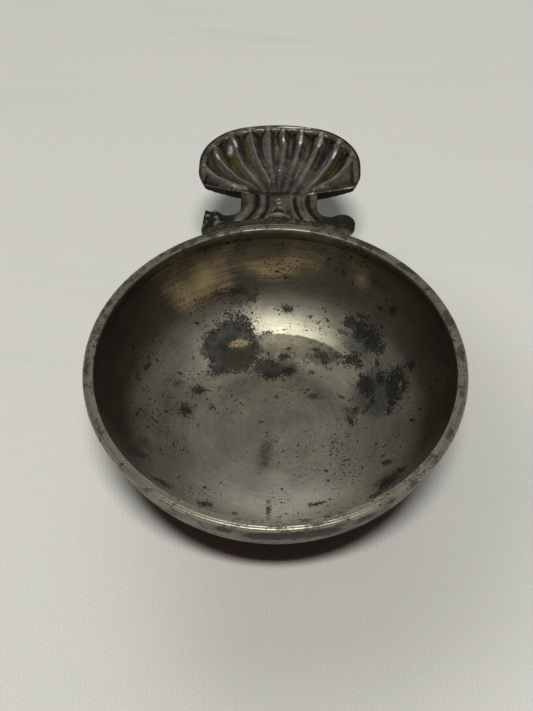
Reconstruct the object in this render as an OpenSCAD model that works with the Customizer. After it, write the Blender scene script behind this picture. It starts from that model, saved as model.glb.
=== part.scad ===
// Pewter porringer: a turned bowl and one cast shell handle, joined by solder.
// Millimetres, +Z up. The origin is the centre of the flat base, and the handle
// points towards +Y.

/* [Bowl] */
// Diameter over the rim's lip
rim_d = 125; // [110:1:140]
// Height of the rim's top above the table
bowl_h = 40.5; // [36:0.5:46]
// Width of the rim's flat top
rim_w = 3.5; // [2.8:0.1:4.2]
// Height of the lip's outer edge, which is fully rounded
lip_h = 1.8; // [1.4:0.1:2.4]
// How far the lip stands out from the wall
lip_overhang = 1.3; // [0.6:0.1:1.6]
// Thickness of the curved wall
wall_t = 1.9; // [1.4:0.1:2.4]
// Thickness of the floor
floor_t = 2.1; // [1.6:0.1:3]
// Depth below the rim at which the wall is upright
belly_drop = 1; // [0.5:0.1:3]
// Height of the turned collar inside the rim
collar_h = 4.5; // [2:0.5:7]
// Diameter of the flat base
base_d = 62; // [50:1:72]
// Distance of the turned line on the rim's top from the outer edge
rim_line_inset = 1.1; // [0.9:0.1:1.5]
// Width and depth of that line
rim_line = 0.3; // [0.2:0.05:0.4]

/* [Shell] */
// Distance from the bowl's rim to the shell's far edge
shell_reach = 53.4; // [48:0.1:58]
// Distance from the rim to the edge where the shell meets the neck
hinge_reach = 13.8; // [12.5:0.1:15]
// Width of the shell
shell_w = 61.4; // [56:0.2:66]
// Radius of the shell's round shoulders
shoulder_r = 21.6; // [20:0.1:23]
// Width of the shell across its wing tips
tip_w = 60.8; // [56:0.2:61]
// Radius of the shell's top edge between the shoulders
crown_r = 58.6; // [50:0.2:70]
// Radius of the rounded wing tips
tip_r = 2.6; // [1.6:0.1:3.2]
// Radius of the bottom edge that carries the wings
wing_edge_r = 92; // [80:1:120]
// Width of the raised border
border_w = 2.7; // [2:0.1:3.4]
// Thickness at the shell's border
shell_edge_t = 2.8; // [2.2:0.1:3.4]
// Extra thickness that the rounded back has at the middle
back_crown = 3.4; // [2:0.1:4]
// Depth of the hollow that the ridges' tops follow
dish_depth = 0.8; // [0.3:0.1:1.2]
// Step from the neck's top up to the shell's border
shell_step = 0.8; // [0.3:0.1:1.2]

/* [Flutes] */
// Depth of a flute at the border
flute_depth = 2.3; // [1.6:0.1:2.6]
// Depth of a flute where it starts, at the waist
flute_start_depth = 0.9; // [0.6:0.1:1.2]
// Width of a ridge between two flutes
ridge_w = 0.9; // [0.5:0.1:1.2]
// How far the fan of ridges leans to the left at the border, as the mould was cut
fan_lean = 2.2; // [0:0.1:3]

/* [Neck] */
// Width of the neck at its narrowest
neck_w = 28; // [25:0.5:30]
// Radius of the hollow between the neck and a scroll lobe
hollow_r = 4.4; // [3.6:0.1:5]
// Radius of a scroll lobe
lobe_r = 4.6; // [4:0.1:5.2]
// Distance of a lobe's centre from the middle line
lobe_x = 23.2; // [21.5:0.1:24.5]
// Thickness of the neck and base plate
plate_t = 3; // [2.4:0.1:3.6]
// Height of the plate's top above the rim
plate_rise = 0.5; // [0.2:0.1:1]
// Radius of the two curved bands on each side of the neck
band_r = 17.7; // [16:0.1:20]
// Radius of a band's round section
band_section_r = 1.2; // [0.8:0.05:1.4]
// Height of a band above the neck
band_rise = 0.7; // [0.3:0.05:0.8]
// Outer radius of the small ring on the neck
ring_r = 1.4; // [1.1:0.1:1.8]

/* [Bracket and solder] */
// Height of the bracket below the rim
bracket_h = 16; // [12:0.5:20]
// Width of the bracket under the plate
bracket_w = 22; // [16:1:26]
// Width of the bracket's tip
bracket_tip_w = 11; // [8:0.5:14]
// Radius of the bracket's hollow outer edge
bracket_hollow_r = 12; // [9:0.5:12.5]
// Width of the solder strip behind the rim
seam_w = 1.6; // [1:0.1:2]

/* [Hidden] */
$fn = 96;
CUT = 1;              // how far a cutter runs past what it cuts
BIG = 200;            // larger than the part in any direction
rim_r = rim_d / 2;
wall_r = rim_r - lip_overhang;
curve_z = bowl_h - belly_drop;
inner_curve_r = curve_z - floor_t;
curve_r = wall_r - wall_t - inner_curve_r;
collar_r = rim_r - rim_w;
edge_r = 0.6;         // rounding of the rim's inner edge

plate_z = bowl_h + plate_rise;
shell_z = plate_z + shell_step;
hinge_y = rim_r + hinge_reach;
far_y = rim_r + shell_reach;
crown_y = far_y - crown_r;
// The shoulders' centres, at which they touch the crown from inside
shoulder_x = shell_w / 2 - shoulder_r;
shoulder_y = crown_y + sqrt(pow(crown_r - shoulder_r, 2) - pow(shoulder_x, 2));
wing_centre_y = hinge_y + wing_edge_r;
// Direction of the sides' normal: a side runs from the shoulder to the wing tip
tip_from_shoulder = [tip_w / 2 - shoulder_x, hinge_y - shoulder_y];
side_angle = atan2(tip_from_shoulder[1], tip_from_shoulder[0])
    + acos(shoulder_r / norm(tip_from_shoulder));
// Centre of the wing tip's rounding, and the direction of the wing edge's normal there
tip_x = tip_w / 2 - tip_r;
tip_y = wing_centre_y - sqrt(pow(wing_edge_r - tip_r, 2) - pow(tip_x, 2));
wing_angle = atan2(tip_y - wing_centre_y, tip_x);
back_half = shell_w / 2;
back_r = (pow(back_half, 2) + pow(back_crown, 2)) / (2 * back_crown);
mid_y = (hinge_y + far_y) / 2;
dish_half = (far_y - border_w - hinge_y) / 2;
dish_r = (pow(dish_half, 2) + pow(dish_depth, 2)) / (2 * dish_depth);

// Ridges of one half, as [x at the waist, y at the waist past the hinge edge,
// angle at which the ridge meets the border, seen from the shell's middle]
RIDGES = [[1.6, 1.6, 83], [2.8, 1.6, 67], [4.9, 1.4, 50], [9.8, 1.6, 30], [15.2, 2.8, -4]];
// The last flute, between the last ridge and the wing's edge, as the points where it
// starts and ends and its width there
LAST_FLUTE = [[15.8, 4.6], [27, 8.4], 2.4, 6.6];
wing_border = 0.3;    // width of the border along the wings, as a share of the rest
side_run = 25;        // longer than the shell's straight sides
overrun = 1.12;       // a flute's cutter runs on past the border's inner edge
flute_start_w = 1.4;  // least width of a flute where it starts

neck_half = neck_w / 2;
lobe_tuck = 0.6;      // how far a lobe reaches in over the rim's circle
hollow_x = neck_half + hollow_r;
lobe_y = sqrt(pow(rim_r + lobe_r, 2) - pow(lobe_x, 2)) - lobe_tuck;
hollow_y = lobe_y + sqrt(pow(hollow_r + lobe_r, 2) - pow(lobe_x - hollow_x, 2));
// The solder strip runs from within the right lobe to the stub's far side
seam_in_lobe = 0.65;  // share of the lobe's radius at which it starts
seam_from = 90 - asin((lobe_x + lobe_r * seam_in_lobe) / (rim_r + seam_w));
seam_to = 90 + asin((lobe_x + lobe_r) / (rim_r + seam_w));
seam_drop = 0.2;      // height of the plate's top above the strip's
seam_rest = 0.02;     // depth of the strip's inner edge below the rim's top

plate_from = rim_r * 0.8;   // the plate is drawn from here, and the bowl cuts it off
neck_tuck = 1;        // how far the neck runs under the shell
band_drop = 2.3;      // the bands' centres lie this far towards the bowl from the hinge edge
band_sweep = 38;      // how far a band turns as it runs down to the bowl
band_tuck = 2;        // and how far it runs on under the shell, in degrees
BAND_X = [4.2, 9.2];  // where the bands meet the hinge edge
ring_drop = 2.9;
fine_r = 0.45;        // section of the ring and the small arches
// Small arches below the ring, as [distance from the hinge edge, radius, half angle]
ARCHES = [[8.6, 2.5, 70], [14, 4.4, 68]];
STUB = [[-1, -1.1], [-0.9, 0.3], [-0.8, 1.25], [-0.3, 1.05], [0, 1.3], [0.5, 0.85],
        [0.8, 0.5], [1.5, 0], [1.5, -1]];

// Outside of the turned bowl, as a filled half section
module bowl_outside() {
    difference() {
        union() {
            translate([curve_r, curve_z]) circle(r = inner_curve_r + wall_t);
            square([curve_r, curve_z]);
            square([base_d / 2, curve_z / 2]);
        }
        // open above the upright line, below the base and left of the axis
        translate([-BIG, curve_z]) square([2 * BIG, BIG]);
        translate([-BIG, -BIG]) square([2 * BIG, BIG]);
        translate([-BIG, -BIG]) square([BIG, 2 * BIG]);
    }
    translate([0, curve_z - CUT]) square([wall_r, belly_drop + CUT - lip_h / 2]);
    translate([0, bowl_h - lip_h]) square([rim_r - lip_h / 2, lip_h]);
    translate([rim_r - lip_h / 2, bowl_h - lip_h / 2]) circle(r = lip_h / 2);
}

// Space inside the bowl, as a half section
module bowl_inside() {
    difference() {
        union() {
            translate([curve_r, curve_z]) circle(r = inner_curve_r);
            translate([0, floor_t]) square([curve_r, curve_z - floor_t]);
        }
        translate([-BIG, bowl_h - collar_h]) square([2 * BIG, BIG]);
        translate([-BIG, -BIG]) square([BIG, 2 * BIG]);
    }
    translate([0, bowl_h - collar_h - CUT]) square([collar_r, collar_h + 2 * CUT]);
    // the rim's inner edge, rounded
    translate([collar_r, bowl_h - edge_r]) difference() {
        square([edge_r, edge_r + CUT]);
        translate([edge_r, 0]) circle(r = edge_r);
    }
}

module bowl() {
    color([0.45, 0.44, 0.38]) rotate_extrude() difference() {
        bowl_outside();
        bowl_inside();
        translate([rim_r - rim_line_inset, bowl_h]) circle(r = rim_line);
    }
}

// The shell seen from above. inset draws the same form inside the border.
module shell_plan(inset = 0) {
    intersection() {
        union() {
            for (side = [-1, 1])
                translate([side * shoulder_x, shoulder_y]) circle(r = shoulder_r - inset);
            // crown, as far as it touches the shoulders
            intersection() {
                translate([0, crown_y]) circle(r = crown_r - inset);
                polygon([[0, crown_y], [2 * shoulder_x, 2 * shoulder_y - crown_y],
                         [-2 * shoulder_x, 2 * shoulder_y - crown_y]]);
            }
            // sides, which leave the shoulders without a corner
            polygon([side_point(-1, inset, 0), side_point(1, inset, 0),
                     side_point(1, inset, side_run), side_point(-1, inset, side_run)]);
        }
        translate([0, wing_centre_y]) circle(r = wing_edge_r - inset * wing_border);
        if (inset == 0) wing_corners();
    }
}

// A point on the shell's side, this far down from where it leaves the shoulder
function side_point(side, inset, down) =
    [side * (shoulder_x + (shoulder_r - inset) * cos(side_angle) + down * sin(side_angle)),
     shoulder_y + (shoulder_r - inset) * sin(side_angle) - down * cos(side_angle)];

// Everything but the sharp corners that the wing tips' rounding takes off
module wing_corners() {
    difference() {
        translate([-BIG, 0]) square(2 * BIG);
        for (side = [0, 1]) mirror([side, 0]) difference() {
            translate([tip_x, tip_y]) polygon([for (a = [0, side_angle, wing_angle / 2, wing_angle])
                a == 0 ? [0, 0] : 4 * tip_r * [cos(a), sin(a)]]);
            translate([tip_x, tip_y]) circle(r = tip_r);
        }
    }
}

// Where a ray from the shell's middle at this angle meets the border's inner edge
function border_point(angle) =
    let (reach = far_y - border_w - mid_y, side = shell_w / 2 - border_w)
    [side * cos(angle) - fan_lean * sin(angle), mid_y + reach * sin(angle)];

// The ridges from left to right, where they start at the waist and end at the border
last = len(RIDGES) - 1;
starts = [for (i = [last : -1 : 0]) [-RIDGES[i][0], hinge_y + RIDGES[i][1]],
          for (i = [0 : last]) [RIDGES[i][0], hinge_y + RIDGES[i][1]]];
ends = [for (i = [last : -1 : 0]) border_point(180 - RIDGES[i][2]),
        for (i = [0 : last]) border_point(RIDGES[i][2])];

function mid_point(a, b) = (a + b) / 2;
function round_r(width, depth) = (pow(width / 2, 2) + pow(depth, 2)) / (2 * depth);

// One flute: a cone that widens and deepens from the waist to the border
module flute(from, to, from_w, to_w) {
    run = to - from;
    length = norm(run);
    r1 = round_r(from_w, flute_start_depth);
    r2 = round_r(to_w, flute_depth);
    rise = (r2 - flute_depth) - (r1 - flute_start_depth);
    translate([from[0], from[1], shell_z + r1 - flute_start_depth])
        rotate([0, 90 - atan2(rise, length), atan2(run[1], run[0])])
            cylinder(h = norm([length, rise]) * overrun, r1 = r1, r2 = r1 + (r2 - r1) * overrun,
                     $fn = 64);
}

module flutes() {
    for (i = [0 : len(starts) - 2])
        flute(mid_point(starts[i], starts[i + 1]), mid_point(ends[i], ends[i + 1]),
              max(norm(starts[i + 1] - starts[i]) - ridge_w, flute_start_w),
              norm(ends[i + 1] - ends[i]) - ridge_w);
    for (side = [0, 1]) mirror([side, 0, 0])
        flute([LAST_FLUTE[0][0], hinge_y + LAST_FLUTE[0][1]],
              [LAST_FLUTE[1][0], hinge_y + LAST_FLUTE[1][1]], LAST_FLUTE[2], LAST_FLUTE[3]);
}

// A disc whose underside is part of a large sphere
module rounded_back() {
    rotate_extrude() intersection() {
        translate([0, back_r]) circle(r = back_r, $fn = 720);
        square([back_half + CUT, shell_edge_t + back_crown + CUT]);
    }
}

module shell() {
    difference() {
        intersection() {
            translate([0, 0, shell_z - shell_edge_t - back_crown])
                linear_extrude(shell_edge_t + back_crown) shell_plan();
            translate([0, mid_y, shell_z - shell_edge_t - back_crown]) rounded_back();
        }
        intersection() {
            translate([0, 0, shell_z - shell_edge_t - back_crown])
                linear_extrude(BIG) shell_plan(border_w);
            union() {
                flutes();
                translate([-BIG / 2, mid_y, shell_z + dish_r - dish_depth])
                    rotate([0, 90, 0]) cylinder(h = BIG, r = dish_r, $fn = 360);
            }
        }
    }
}

// Neck and base plate seen from above
module neck_plan() {
    difference() {
        translate([-lobe_x, plate_from]) square([2 * lobe_x, tip_y - plate_from]);
        translate([0, wing_centre_y]) circle(r = wing_edge_r - neck_tuck);
        for (side = [-1, 1]) {
            translate([side * hollow_x, hollow_y]) circle(r = hollow_r);
            translate([side * (neck_half + BIG / 2), hollow_y + BIG / 2]) square(BIG, center = true);
            translate([side * (hollow_x + BIG / 2), hollow_y - hollow_r + BIG / 2])
                square(BIG, center = true);
        }
    }
    translate([lobe_x, lobe_y]) circle(r = lobe_r);
    // the left lobe is broken off to a stub, outlined in lobe radii from its centre
    translate([-lobe_x, lobe_y]) scale(lobe_r) polygon(STUB);
}

// A round relief line along an arc on the neck
module relief(centre, r, section_r, rise, from_angle, to_angle) {
    translate([centre[0], centre[1], plate_z + rise - section_r])
        rotate([0, 0, from_angle]) rotate_extrude(angle = to_angle - from_angle, $fn = 48)
            translate([r, 0]) circle(r = section_r, $fn = 16);
}

module neck_relief() {
    band_top = asin(band_drop / band_r) + band_tuck;
    for (side = [0, 1]) mirror([side, 0, 0])
        for (x = BAND_X)
            relief([x + band_r, hinge_y - band_drop], band_r, band_section_r, band_rise,
                   180 - band_top, 180 + band_sweep);
    relief([0, hinge_y - ring_drop], ring_r - fine_r, fine_r, fine_r, 0, 360);
    for (arch = ARCHES)
        relief([0, hinge_y - arch[0]], arch[1], fine_r, fine_r, 90 - arch[2], 90 + arch[2]);
}

module neck() {
    translate([0, 0, plate_z - plate_t]) linear_extrude(plate_t) neck_plan();
}

module bracket() {
    intersection() {
        // side view: a tongue with a hollow outer edge
        rotate([90, 0, 90]) linear_extrude(bracket_w, center = true) difference() {
            translate([0, bowl_h - bracket_h])
                square([rim_r + bracket_hollow_r + 1, bracket_h + plate_rise - plate_t / 2]);
            translate([rim_r + bracket_hollow_r + 1, bowl_h - bracket_h]) circle(r = bracket_hollow_r);
        }
        // front view: tapered to a round tip
        translate([0, BIG, 0]) rotate([90, 0, 0]) linear_extrude(BIG) {
            translate([0, bowl_h - bracket_h + bracket_tip_w / 2]) circle(r = bracket_tip_w / 2);
            polygon([[-bracket_w / 2, bowl_h], [bracket_w / 2, bowl_h],
                     [bracket_tip_w / 2, bowl_h - bracket_h + bracket_tip_w / 2],
                     [-bracket_tip_w / 2, bowl_h - bracket_h + bracket_tip_w / 2]]);
        }
    }
}

// Half section of the solder: a sloping strip behind the rim
module strip_section() {
    polygon([[collar_r, bowl_h - lip_h], [rim_r + seam_w, bowl_h - lip_h],
             [rim_r + seam_w, plate_z - seam_drop], [rim_r - lip_h / 2, bowl_h - seam_rest]]);
}

module handle() {
    color([0.27, 0.27, 0.26]) difference() {
        union() {
            shell();
            neck();
            neck_relief();
            bracket();
        }
        rotate_extrude() {
            bowl_outside();
            // everything within the plate's front edge
            translate([0, bowl_h - lip_h]) square([rim_r + seam_w, BIG]);
        }
    }
}

module solder_seam() {
    color([0.52, 0.51, 0.46]) rotate([0, 0, seam_from])
        rotate_extrude(angle = seam_to - seam_from) difference() {
            strip_section();
            bowl_outside();
        }
}

bowl();
handle();
solder_seam();
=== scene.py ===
import math

import bpy
import numpy as np
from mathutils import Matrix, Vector, noise


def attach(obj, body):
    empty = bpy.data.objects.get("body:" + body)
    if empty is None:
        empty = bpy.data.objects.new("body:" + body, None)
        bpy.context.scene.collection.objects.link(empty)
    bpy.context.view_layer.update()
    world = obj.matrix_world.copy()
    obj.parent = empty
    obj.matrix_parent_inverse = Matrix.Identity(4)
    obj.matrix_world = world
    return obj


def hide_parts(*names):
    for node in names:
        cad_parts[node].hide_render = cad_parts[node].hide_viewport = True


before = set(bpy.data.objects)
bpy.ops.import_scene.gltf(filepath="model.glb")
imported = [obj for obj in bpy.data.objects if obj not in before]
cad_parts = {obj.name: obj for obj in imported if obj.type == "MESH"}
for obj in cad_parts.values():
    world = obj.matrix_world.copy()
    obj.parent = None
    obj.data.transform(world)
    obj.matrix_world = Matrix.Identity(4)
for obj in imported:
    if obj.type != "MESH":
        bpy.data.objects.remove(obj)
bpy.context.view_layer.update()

mm = 0.001


def clearSelection():
    for thing in bpy.context.selected_objects:
        thing.select_set(False)


def makeActive(thing):
    clearSelection()
    thing.select_set(True)
    bpy.context.view_layer.objects.active = thing


def editOn(thing):
    makeActive(thing)
    bpy.ops.object.mode_set(mode="EDIT")
    bpy.ops.mesh.select_mode(type="VERT")


def editOff():
    bpy.ops.object.mode_set(mode="OBJECT")


def readPoints(thing, what="co"):
    # places or normals of the mesh's points, one row each
    found = np.empty(len(thing.data.vertices) * 3, np.float32)
    thing.data.vertices.foreach_get(what, found)
    return found.reshape(-1, 3).astype(float)


def writePoints(thing, places):
    thing.data.vertices.foreach_set("co", places.astype(np.float32).ravel())
    thing.data.update()


def applyModifier(thing, kind, **settings):
    makeActive(thing)
    mod = thing.modifiers.new(kind.title(), kind)
    for name, value in settings.items():
        setattr(mod, name, value)
    bpy.ops.object.modifier_apply(modifier=mod.name)


def addValues(thing, name, values):
    # one number for each point of the mesh, which its material reads
    layer = thing.data.attributes.new(name, "FLOAT", "POINT")
    layer.data.foreach_set("value", values.astype(np.float32))


def patchDepth(xy, patches, rise=0.4, riseBySize=0.14):
    # above 0 inside a patch, most in its middle, 0 at its edge and below 0 outside
    found = np.full(len(xy), -1.0)
    for x, y, halfLong, halfWide, turn in patches:
        c, s = math.cos(math.radians(turn)), math.sin(math.radians(turn))
        dx, dy = xy[:, 0] - x, xy[:, 1] - y
        along, across = (dx * c + dy * s) / halfLong, (dy * c - dx * s) / halfWide
        middle = rise + riseBySize * min(halfLong, halfWide)
        found = np.maximum(found, (1 - np.hypot(along, across)) * middle)
    return found


def step(x, low, high):
    # smooth step from 0 at low to 1 at high
    t = np.clip((x - low) / (high - low), 0, 1)
    return t * t * (3 - 2 * t)


def bell(x, width):
    # 1 where x is 0, and next to nothing at twice the width
    return np.exp(-(x / width) ** 2)


def uneven(turn, waves):
    # about 0 to 1 round the bowl; a wave has its share, number of crests and start
    return 0.5 + sum(share * np.cos(crests * turn + start) for share, crests, start in waves)


class Wire:
    # a node's output that can be added, multiplied and so on

    def __init__(self, paint, out):
        self.paint = paint
        self.out = out

    def maths(self, operation, *others):
        return self.paint.node("ShaderNodeMath", {"operation": operation},
                               dict(enumerate((self,) + others)))

    def __add__(self, other): return self.maths("ADD", other)
    def __mul__(self, other): return self.maths("MULTIPLY", other)
    def __sub__(self, other): return self.maths("SUBTRACT", other)
    def __rsub__(self, other): return self * -1.0 + other
    def __truediv__(self, other): return self.maths("DIVIDE", other)
    def __pow__(self, other): return self.maths("POWER", other)

    def atMost(self, other): return self.maths("MINIMUM", other)
    def atLeast(self, other): return self.maths("MAXIMUM", other)

    def between(self, low, high, to=(0.0, 1.0), how="SMOOTHSTEP"):
        return self.paint.node("ShaderNodeMapRange", {"interpolation_type": how},
                               {"Value": self, "From Min": low, "From Max": high,
                                "To Min": to[0], "To Max": to[1]})


class Paint:
    # the nodes of a material or of the world

    def __init__(self, tree):
        self.tree = tree
        tree.nodes.clear()

    def node(self, kind, settings=None, inputs=None, out=0):
        made = self.tree.nodes.new(kind)
        for name, value in (settings or {}).items():
            setattr(made, name, value)
        for name, value in (inputs or {}).items():
            socket = made.inputs[name]
            if isinstance(value, Wire):
                self.tree.links.new(value.out, socket)
            elif isinstance(value, tuple) and socket.type == "RGBA":
                socket.default_value = (*value, 1)
            else:
                socket.default_value = value
        return Wire(self, made.outputs[out]) if len(made.outputs) else None

    def place(self):
        return self.node("ShaderNodeTexCoord", out="Object")

    def value(self, name):
        return self.node("ShaderNodeAttribute", {"attribute_name": name}, out=2)

    def axes(self, vector):
        return [self.node("ShaderNodeSeparateXYZ", {}, {0: vector}, out=i) for i in range(3)]

    def vector(self, x, y, z):
        return self.node("ShaderNodeCombineXYZ", {}, {0: x, 1: y, 2: z})

    def noise(self, vector, scale, detail=2.0, rough=0.5, w=None, warp=0.0):
        inputs = {"Vector": vector, "Scale": scale, "Detail": detail,
                  "Roughness": rough, "Distortion": warp}
        if w is None:
            return self.node("ShaderNodeTexNoise", {}, inputs)
        return self.node("ShaderNodeTexNoise", {"noise_dimensions": "4D"}, {**inputs, "W": w})

    def mix(self, amount, first, second, blend="MIX"):
        return self.node("ShaderNodeMix", {"data_type": "RGBA", "blend_type": blend},
                         {0: amount, 6: first, 7: second}, out=2)

    def shaded(self, colour, shade):
        return self.mix(1.0, colour, self.vector(shade, shade, shade), "MULTIPLY")

    def bump(self, height, strength=1.0, distance=1.0):
        return self.node("ShaderNodeBump", {},
                         {"Height": height, "Strength": strength, "Distance": distance})

    def finish(self, colour, metallic, rough, normal, specular=0.5):
        shader = self.node("ShaderNodeBsdfPrincipled", {}, {
            "Base Color": colour, "Metallic": metallic, "Roughness": rough,
            "Specular IOR Level": specular, "Normal": normal})
        self.node("ShaderNodeOutputMaterial", {}, {"Surface": shader})


def newMaterial(name):
    made = bpy.data.materials.new(name)
    made.use_nodes = True
    return made, Paint(made.node_tree)


camera = {"place": (0.00179, -0.198525, 0.297353), "tilt": 37.873, "turn": 1.35,
          "lens": 50.633, "sensor": 36.0, "clip": (0.01, 20.0)}


def makeCamera():
    eye = bpy.data.cameras.new("Camera")
    eye.lens, eye.sensor_width = camera["lens"], camera["sensor"]
    eye.clip_start, eye.clip_end = camera["clip"]
    thing = bpy.data.objects.new("Camera", eye)
    thing.location = camera["place"]
    thing.rotation_euler = (math.radians(camera["tilt"]), 0, math.radians(camera["turn"]))
    bpy.context.scene.collection.objects.link(thing)
    bpy.context.scene.camera = thing


makeCamera()
print("camera placed")


# the bowl in millimetres; rows are numbers of points along the section
bowl = {"rim": 62.5, "height": 40.5, "lip": 1.8, "underLip": (0.1, 0.12), "wall": 61.2,
        "curveZ": 39.5, "curveX": 21.9, "insideR": 37.4, "outsideR": 39.3, "floor": 2.1,
        "base": 31.0, "footEdge": 0.4, "collarR": 59.0, "collar": 4.5,
        "collarFoot": ((0.0, 0.25), (0.04, 0.08), (0.11, -0.08)), "curveBelow": 0.4,
        "edge": 0.6, "lineIn": 1.1, "line": 0.3, "segments": 288,
        "rows": {"foot": 14, "outside": 50, "lip": 14, "collar": 7, "inside": 96, "floor": 40},
        "outOfRound": 0.16, "roundWaves": ((0.25, 2, 0.7), (0.15, 3, -1.1), (0.1, 7, 2.0)),
        "worn": 0.14, "wornWaves": ((0.3, 2, -0.4), (0.2, 5, 1.3)),
        "roundFrom": 0.2, "wornFrom": 0.75, "rimDepth": 2.0, "outsideSkin": 0.8}
# a dull tarnished field behind the middle, which ends along one turned line
dullField = {"start": (27.0, 35.0), "end": (39.4, 37.4), "sides": (52, 24), "turn": 3, "top": 30}

# all marks: x, y, half length and half width in millimetres, and turn in degrees;
# first the charcoal stains inside the bowl, seen from above
stains = [(-15.5, 37.8, 7.4, 5.2, 18), (-22.3, 31.2, 5.6, 6.0, 0), (-15.0, 27.6, 9.0, 5.6, 5),
          (-20.8, 23.8, 3.8, 2.3, 0), (-9.0, 33.0, 3.2, 4.2, 0), (-24.6, 20.4, 1.4, 0.8, 40),
          (-3.4, 25.2, 5.6, 3.6, -8), (-1.5, 21.8, 4.6, 2.4, 5), (4.4, 24.0, 3.4, 2.4, 20),
          (3.6, 30.0, 2.6, 1.1, 5), (6.6, 31.6, 0.8, 0.5, 0), (4.6, 33.0, 1.0, 0.4, 0),
          (-21.8, 47.3, 2.6, 1.2, 28), (-15.4, 49.4, 4.6, 1.1, 10), (-9.6, 48.9, 2.6, 1.3, 20),
          (-8.4, 51.0, 1.4, 0.6, 0), (4.0, 46.3, 2.8, 1.1, -10), (-13.0, 43.0, 1.3, 0.7, 0),
          (-3.2, 38.6, 1.6, 0.5, 10), (-18.4, 43.0, 1.0, 0.6, 0), (3.0, 54.2, 1.1, 0.5, 0),
          (24.2, 51.4, 1.0, 0.5, -30), (13.0, 43.6, 0.7, 0.4, 0), (-0.8, 46.2, 0.8, 0.4, 0),
          (27.6, 39.2, 3.4, 2.2, -42), (31.4, 35.4, 5.0, 3.4, -50), (35.2, 31.0, 5.0, 3.4, -58),
          (37.8, 27.8, 2.2, 2.2, 0), (31.2, 39.8, 3.4, 0.9, -28), (24.6, 36.6, 2.6, 0.7, -25),
          (41.8, 36.6, 2.2, 0.8, -45), (27.6, 27.0, 3.6, 3.0, -20), (30.0, 24.4, 1.6, 1.8, 0),
          (15.2, 32.0, 2.2, 1.0, -30), (17.6, 29.4, 3.2, 1.3, -30), (18.2, 27.0, 1.1, 1.6, 0),
          (22.8, 29.2, 2.0, 0.9, 0), (11.4, 27.4, 1.0, 0.8, 0), (13.4, 23.4, 1.2, 0.9, 0),
          (33.0, 15.6, 3.6, 5.4, 15), (31.4, 19.2, 1.8, 1.3, 0), (34.6, 9.4, 1.4, 1.8, 0),
          (37.6, 17.6, 1.6, 3.2, 10), (42.4, 12.8, 3.8, 6.8, -8), (45.0, 11.0, 1.8, 4.2, 0),
          (41.0, 6.8, 1.8, 2.2, 0), (40.2, 3.8, 1.3, 2.2, 10), (47.8, 17.0, 1.2, 2.6, 18),
          (36.6, 23.6, 0.9, 1.8, 0), (11.8, 16.0, 1.3, 0.6, 0), (13.8, 12.8, 2.2, 1.6, 0),
          (24.0, 12.6, 1.7, 0.6, -40), (26.8, 10.8, 0.9, 0.5, -20), (28.9, 6.4, 1.3, 1.7, 0),
          (27.2, 1.4, 1.0, 2.0, 10), (33.0, 6.6, 0.9, 1.8, 0), (31.4, 12.8, 1.2, 0.8, 0),
          (-32.0, 4.4, 2.6, 2.6, 0), (-32.6, 6.6, 1.6, 0.9, 30), (-22.4, 6.7, 1.2, 1.2, 0),
          (-27.8, 13.8, 2.2, 1.8, 20), (-45.6, 16.2, 0.9, 2.2, -25), (-48.4, 11.5, 0.7, 2.2, 0),
          (-14.6, 10.2, 0.9, 0.35, 10), (-5.0, 1.2, 0.8, 0.45, 0), (0.6, 12.0, 0.6, 1.0, 0),
          (-45.2, -20.4, 3.0, 2.2, 30), (-51.6, -16.0, 1.0, 1.8, 0), (-22.0, -36.0, 2.4, 1.7, 0),
          (-36.5, -30.6, 3.4, 1.2, -15), (-27.2, -0.8, 0.8, 0.6, 0), (14.2, -33.2, 3.0, 1.0, 10),
          (37.6, -28.8, 4.4, 2.4, 35), (34.0, -33.0, 3.2, 1.2, 20), (38.6, -18.6, 1.8, 1.4, 0),
          (25.2, -14.4, 1.2, 0.5, 30), (33.0, -14.2, 1.6, 0.7, 20), (-1.4, -36.2, 0.8, 4.0, 0),
          (-12.6, -38.4, 1.0, 0.6, 0), (47.6, -4.0, 0.8, 0.8, 0), (42.0, -24.6, 2.0, 1.0, 30)]
# softer grey clouds
clouds = [(-35.5, 15.0, 4.0, 3.6, 0), (-22.0, 22.0, 6.5, 4.0, 35), (-14.0, 33.0, 13.0, 9.5, 10),
          (0.0, 26.0, 12.0, 7.5, -5), (36.5, 12.0, 11.0, 12.0, 10), (30.0, 32.0, 9.0, 8.0, -40),
          (18.0, 29.5, 8.0, 3.6, -15), (-44.5, -14.5, 4.0, 4.0, 0), (-32.0, 4.0, 4.5, 4.5, 0),
          (38.0, -27.0, 7.0, 5.0, 30), (-15.0, 47.6, 10.0, 3.0, 18), (4.0, 46.2, 4.0, 2.2, 0),
          (-3.0, -12.0, 4.0, 11.0, -8), (-28.0, 13.0, 3.6, 3.4, 0), (27.0, 5.0, 3.4, 6.0, 0)]
# brown and tan parts of the stains, and gilt-coloured areas of the wall, partly tarnish and partly
# a painted warm reflection
brownStains = [(-15.0, 28.0, 8.0, 4.4, 8), (-13.5, 32.4, 6.4, 2.6, 0), (-2.0, 33.5, 7.0, 2.2, 0),
               (42.8, 12.6, 1.4, 3.0, -12), (17.0, 30.0, 3.6, 1.8, -30)]
tanMarks = [(-13.6, 34.2, 4.6, 1.5, 12), (-16.8, 32.8, 1.4, 0.5, 30), (-23.2, 28.6, 0.7, 0.4, 0),
            (44.4, 12.4, 0.6, 1.6, -20), (22.8, 29.2, 0.7, 0.4, 0), (-2.0, 38.2, 0.8, 0.3, 0)]
giltTarnishAndReflection = [(-28.0, 47.0, 16.0, 6.0, 31), (-4.0, 55.5, 24.0, 2.6, 3),
             (31.0, 48.0, 6.0, 2.0, -38)]
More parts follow.
